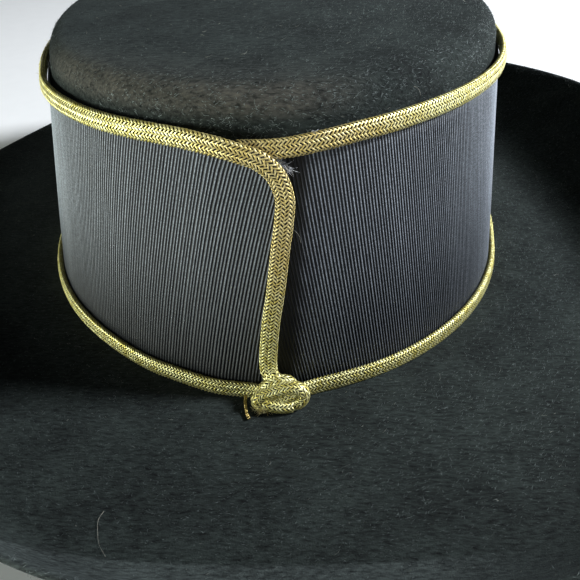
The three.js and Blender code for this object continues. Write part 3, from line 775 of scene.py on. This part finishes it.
def rods(name, paths, radius, sides):
    """Round rods with flat ends, drawn out ring by ring along paths in millimetres, as one mesh."""
    shape = bmesh.new()
    for path in paths:
        along = [Vector(step) for step in np.gradient(path, axis=0)]
        points = [Vector(point) / 1000 for point in path]
        first = Matrix.Translation(points[0]) @ along[0].to_track_quat("Z", "Y").to_matrix().to_4x4()
        end = bmesh.ops.create_circle(
            shape, cap_ends=True, segments=sides, radius=radius / 1000, matrix=first)["verts"]
        for here, there, way, next_way in zip(points, points[1:], along, along[1:]):
            face = [f for f in end[0].link_faces if set(f.verts) == set(end)]
            grown = bmesh.ops.extrude_face_region(shape, geom=face)["geom"]
            end = [part for part in grown if isinstance(part, bmesh.types.BMVert)]
            turn = way.rotation_difference(next_way).to_matrix().to_4x4()
            step = Matrix.Translation(there) @ turn @ Matrix.Translation(-here)
            bmesh.ops.transform(shape, matrix=step, verts=end)
    bmesh.ops.recalc_face_normals(shape, faces=shape.faces)
    for face in shape.faces:
        face.smooth = len(face.verts) == 4
    mesh = bpy.data.meshes.new(name)
    shape.to_mesh(mesh)
    shape.free()
    return mesh


tail_mesh = rods("wire", [tail_path], wire_radius, 16)
show("wire", tail_mesh, wire_material, ["wire_tail"])


# Frayed ends. Where the cord is cut at the knot its threads stand out as a small tuft, a few
# threads have worked loose along the braid, and grey ribbon threads show beside the crossing.
def strands(name, roots, ways, lengths, width, bend, chance, sides=3, joints=3):
    """Loose fibres as thin tapering rods: roots and ways as arrays of points in millimetres."""
    count = len(roots)
    ways = unit(ways)
    curl = unit(np.cross(ways, chance.normal(size=(count, 3))))
    beside = np.cross(ways, curl)
    share = np.linspace(0, 1, joints + 1)[None, :, None]
    curled = share * ways[:, None] + bend * share ** 2 * curl[:, None]
    line = roots[:, None] + lengths[:, None, None] * curled
    around = (np.arange(sides) * 2 * np.pi / sides)[None, None, :, None]
    ring = np.cos(around) * curl[:, None, None] + np.sin(around) * beside[:, None, None]
    points = line[:, :, None] + width / 2 * (1 - 0.7 * share)[..., None] * ring
    step, here = np.arange(joints)[:, None] * sides, np.arange(sides)[None, :]
    after = (here + 1) % sides
    round_faces = np.stack([step + here, step + after, step + sides + after, step + sides + here], -1)
    groups = [round_faces.reshape(-1, 4), here[:, ::-1], joints * sides + here]
    first = np.arange(count)[:, None, None] * (joints + 1) * sides
    return mesh_of(name, points, [(first + group).reshape(-1, group.shape[1]) for group in groups])


def thread_finish(name, dark, pale, metallic, roughness):
    """Loose thread or fibre: a plain tone that varies a little, about every millimetre."""
    material, tree, output = new_material(name)
    place = add_node(tree, "ShaderNodeTexCoord").outputs["Object"]
    vary = add_node(tree, "ShaderNodeTexNoise", {}, {"Vector": place, "Scale": 900.0, "Detail": 2.0})
    spread = add_node(tree, "ShaderNodeMapRange", {}, {
        "Value": vary.outputs["Fac"], "From Min": 0.35, "From Max": 0.65})
    tone = add_node(tree, "ShaderNodeMix", colour_mix, {
        "Factor": spread.outputs[0], 6: linear(dark), 7: linear(pale)})
    shader = add_node(tree, "ShaderNodeBsdfPrincipled", {}, {
        "Base Color": tone.outputs[2], "Metallic": metallic, "Roughness": roughness})
    tree.links.new(shader.outputs["BSDF"], output.inputs["Surface"])
    return material


# Loose gold thread: the same film as the braid, seen singly, so it is paler and shines less.
tuft_count, edge_count, base_count, on_knot_count = 150, 170, 120, 110
gold_fray_width, gold_fray_bend = 0.11, 0.35
chance = np.random.default_rng(21)
tuft_root = knot_middle + np.array((-4.5, -3.3, -2.9))
tuft_roots = tuft_root + chance.normal(0, (0.9, 0.5, 0.7), (tuft_count, 3))
tuft_ways = np.array((-0.35, -0.9, -0.1)) + chance.normal(0, 0.55, (tuft_count, 3))
along_edge = chance.integers(20, len(edge_path) - 20, edge_count)
along_base = chance.integers(10, len(base_path) - 10, base_count)
stray_roots = np.concatenate([edge_path[along_edge] + off_wall(edge_path[along_edge]) * 0.9,
                              base_path[along_base] + off_wall(base_path[along_base]) * 0.9])
stray_roots[:, 2] += chance.uniform(-1.8, 1.8, len(stray_roots))
stray_ways = np.concatenate([off_wall(edge_path[along_edge]), off_wall(base_path[along_base])]) * 0.7 \
    + chance.normal(0, 0.6, (len(stray_roots), 3))
on_knot_roots = knot_middle + chance.normal(0, (3.6, 0.6, 1.8), (on_knot_count, 3)) + (0, -1.8, 0.4)
on_knot_ways = np.array((0.0, -0.8, 0.4)) + chance.normal(0, 0.6, (on_knot_count, 3))
fray_roots = np.concatenate([tuft_roots, stray_roots, on_knot_roots])
fray_ways = np.concatenate([tuft_ways, stray_ways, on_knot_ways])
fray_lengths = np.concatenate([
    chance.uniform(0.7, 1.7, tuft_count), chance.uniform(0.35, 0.95, len(stray_roots)),
    chance.uniform(0.4, 1.1, on_knot_count)])
fray_mesh = strands("gold_frays", fray_roots, fray_ways, fray_lengths, gold_fray_width, gold_fray_bend, chance)
show("gold_frays", fray_mesh, thread_finish("loose gold thread", "#CDB868", "#FFF6C0", 0.35, 0.42))

# Loose ribbon thread: undyed ends, pale grey and dull. Most hang out right of the fold under the
# crossing, and a few stand up in a nick above it.
hanging_count, nick_count = 90, 10
hanging_low, hanging_high = 66.8, 70.6
ribbon_fray_width, ribbon_fray_bend = 0.12, 0.4
thread_heights = chance.uniform(hanging_low, hanging_high, hanging_count)
thread_degrees = -88.6 + (hanging_high - thread_heights) * 0.75 + chance.uniform(0, 0.9, hanging_count)
thread_roots = on_wall(thread_degrees, thread_heights, 0.3)
nick_roots = on_wall(chance.normal(-81.6, 0.35, nick_count), chance.uniform(74.5, 75.0, nick_count), 0.6)
thread_ways = np.concatenate([np.array((0.8, -0.5, -0.5)) + chance.normal(0, 0.35, (hanging_count, 3)),
                              np.array((-0.2, -0.3, 0.9)) + chance.normal(0, 0.6, (nick_count, 3))])
thread_lengths = np.concatenate([chance.uniform(0.9, 2.6, hanging_count),
                                 chance.uniform(0.4, 1.1, nick_count)])
thread_mesh = strands("ribbon_frays", np.concatenate([thread_roots, nick_roots]), thread_ways, thread_lengths,
                      ribbon_fray_width, ribbon_fray_bend, chance)
grey_thread = thread_finish("loose grey ribbon thread", "#A5ACB6", "#F2F1EF", 0.0, 0.6)
show("ribbon_frays", thread_mesh, grey_thread)

# Nap. The felt's outer faces carry a short brushed pile: single fibres, lying nearly flat and
# mostly one way round the hat, that blur the crown's edge and speckle the surface. Wool fibre is
# dull, from near black to mid grey. Real fibres are far finer than the 0.1 mm that these need to show.
nap_count = 130000
nap_least_slope = 0.15
crown_top_from = 73
nap_width, nap_sunk, nap_tip_rise = 0.1, 0.08, 0.03
nap_shortest, nap_longest = 0.5, 1.5
chance = np.random.default_rng(31)
felt_mesh.calc_loop_triangles()
corner = np.array([t.vertices[:] for t in felt_mesh.loop_triangles])
place = np.array([v.co[:] for v in felt_mesh.vertices]) * 1000
facing = np.array([v.normal[:] for v in felt_mesh.vertices])
face_normal = np.cross(place[corner[:, 1]] - place[corner[:, 0]], place[corner[:, 2]] - place[corner[:, 0]])
face_size = np.linalg.norm(face_normal, axis=1)
faces_up = face_normal[:, 2] > nap_least_slope * face_size
on_top = (place[corner].mean(1)[:, 2] > crown_top_from) & (face_normal[:, 2] > 0)
weight = np.where(faces_up | on_top, face_size / 2, 0)
pick = chance.choice(len(corner), nap_count, p=weight / weight.sum())
first_mix, second_mix = np.sqrt(chance.random(nap_count))[:, None], chance.random(nap_count)[:, None]
mix = np.concatenate([1 - first_mix, first_mix * (1 - second_mix), first_mix * second_mix], 1)[..., None]
root = (place[corner[pick]] * mix).sum(1)
normal = unit((facing[corner[pick]] * mix).sum(1))
swirl = np.stack([-(root[:, 1] - crown_middle[1]), root[:, 0] - crown_middle[0], np.zeros(nap_count)], -1)
way = unit(swirl) + chance.normal(0, 0.55, (nap_count, 3))
way = unit(way - (way * normal).sum(1, keepdims=True) * normal)
rise = np.abs(chance.normal(0.14, 0.16, nap_count))[:, None]
length = chance.uniform(nap_shortest, nap_longest, nap_count)[:, None]
tip = root + length * (way * np.cos(rise) + normal * np.sin(rise)) + nap_tip_rise * normal
flank = np.cross(way, normal) * (nap_width / 2)
sunk = nap_sunk * normal
nap_points = np.stack([root - flank - sunk, root + flank - sunk, tip], 1).reshape(-1, 3)
nap_mesh = mesh_of("felt_nap", nap_points, [np.arange(nap_count * 3).reshape(-1, 3)])
show("felt_nap", nap_mesh, thread_finish("wool fibre", "#141818", "#7E8886", 0.0, 0.85))

# Lint and hairs. Pale specks of lint and three loose hairs have settled in the nap and on the band.
# Lint is dull and greyish white, and a hair a little smoother, so it shines along its length.
lint_count, lint_width, lint_bend = 900, 0.075, 0.5
chance = np.random.default_rng(41)
speck = chance.choice(nap_count, lint_count, replace=False)
lint_ways = way[speck] + 0.25 * normal[speck]
lint_roots = root[speck] + 0.05 * normal[speck]
lint_lengths = chance.exponential(0.5, lint_count) + 0.25
lint_mesh = strands("lint", lint_roots, lint_ways, lint_lengths, lint_width, lint_bend, chance)
show("lint", lint_mesh, thread_finish("pale lint", "#6E7068", "#B9B8AC", 0.0, 0.8))

hair_radius = 0.028
hair_runs = [
    [(-34.7, -140.0, 2.35), (-35.3, -142.3, 2.55), (-34.9, -144.6, 2.45), (-33.6, -148.2, 2.4),
     (-31.2, -151.3, 2.6)],
    [(40.2, -71.9, 79.1), (41.3, -71.3, 78.5), (42.0, -71.1, 77.6), (42.3, -71.2, 76.5)],
    [(10.0, -95.4, 53.3), (11.2, -94.0, 51.2), (11.9, -93.5, 49.8), (12.4, -93.5, 47.6)],
]
hair_mesh = rods("hairs", [smooth_path(np.array(run), 0.4) for run in hair_runs], hair_radius, 5)
show("hairs", hair_mesh, thread_finish("pale loose hair", "#77756B", "#BDB9AB", 0.0, 0.5))
